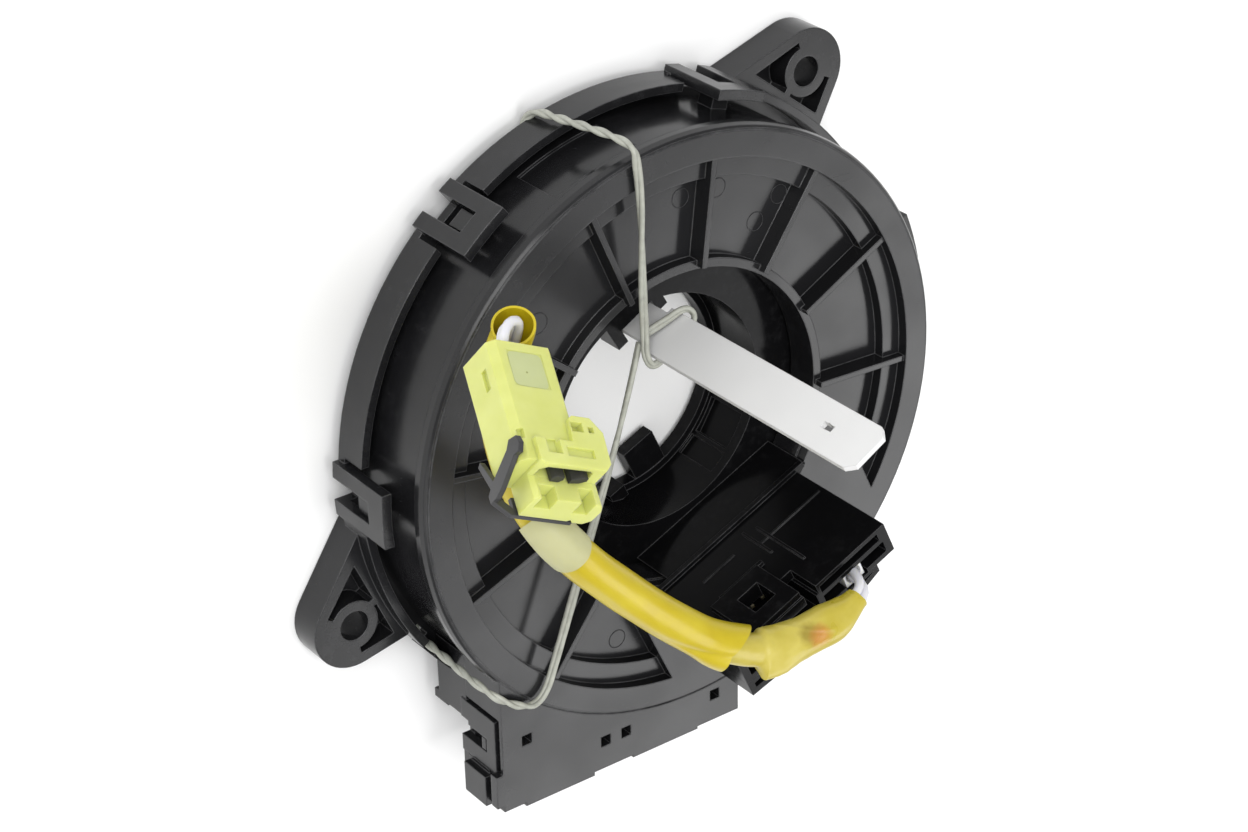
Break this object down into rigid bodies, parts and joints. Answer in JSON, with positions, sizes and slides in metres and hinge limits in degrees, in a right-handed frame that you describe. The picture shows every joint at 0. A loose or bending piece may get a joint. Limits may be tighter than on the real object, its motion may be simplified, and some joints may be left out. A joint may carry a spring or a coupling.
{
  "type": "steering clock spring",
  "caption": "Round clock spring for a steering column: stepped black drum with mounting ears, open rotor with a connector tower, lock strip and a short sleeved airbag lead tied across it.",
  "frame": {"origin": "on the turning axis, in the plane of the rear foot ring that the part rests on", "axes": "+Z along the turning axis towards the steering wheel, +Y towards the top of the drum, away from the harness sockets, +X to the right seen from the wheel"},
  "size_m": [0.1192, 0.1157, 0.072],
  "materials": {
    "black_plastic": "semi-gloss",
    "rotor_plastic": "semi-gloss",
    "terminal": "satin",
    "dark_terminal": "satin",
    "slip_sheet": "satin",
    "slide_ring": "satin",
    "flat_cable": "gloss",
    "white_nylon": "semi-gloss",
    "white_strip": "semi-gloss",
    "plug_nylon": "semi-gloss",
    "white_wire": "satin",
    "yellow_sleeve": "semi-gloss",
    "clear_yellow_tape": "gloss",
    "masking_tape": "matte",
    "tie_cord": "matte"
  },
  "bodies": {
    "stator": {"front_case": "black_plastic", "rear_cover": "black_plastic", "socket_cover": "black_plastic", "harness_terminals_left": "terminal", "harness_terminals_right": "terminal", "front_slip_sheet": "slip_sheet", "rear_slip_sheet": "slip_sheet", "slide_ring": "slide_ring", "flat_cable": "flat_cable", "outer_cable_clamp": "white_nylon", "tie_cord": "tie_cord"},
    "rotor": {"rotor": "rotor_plastic", "retaining_ring": "rotor_plastic", "tower_shroud": "rotor_plastic", "tower_terminals": "terminal", "inner_cable_clamp": "white_nylon", "wire_plug": "white_nylon", "airbag_wires": "white_wire", "lead_sleeve": "yellow_sleeve", "tape_wrap": "clear_yellow_tape", "anchor_tape": "masking_tape", "airbag_connector": "plug_nylon", "connector_lock": "black_plastic", "airbag_terminals": "dark_terminal"},
    "lock_strip": {"lock_strip": "white_strip"}
  },
  "joints": [
    {"name": "rotor_turn", "type": "hinge", "parent": "stator", "child": "rotor", "pos_m": [0, 0, 0], "axis": [0, 0, 1], "range_deg": [-720, 720], "deforming": ["tie_cord", "flat_cable"]},
    {"name": "strip_pull", "type": "slide", "parent": "rotor", "child": "lock_strip", "axis": [0, 0, 1], "range_m": [0, 0.03]}
  ]
}
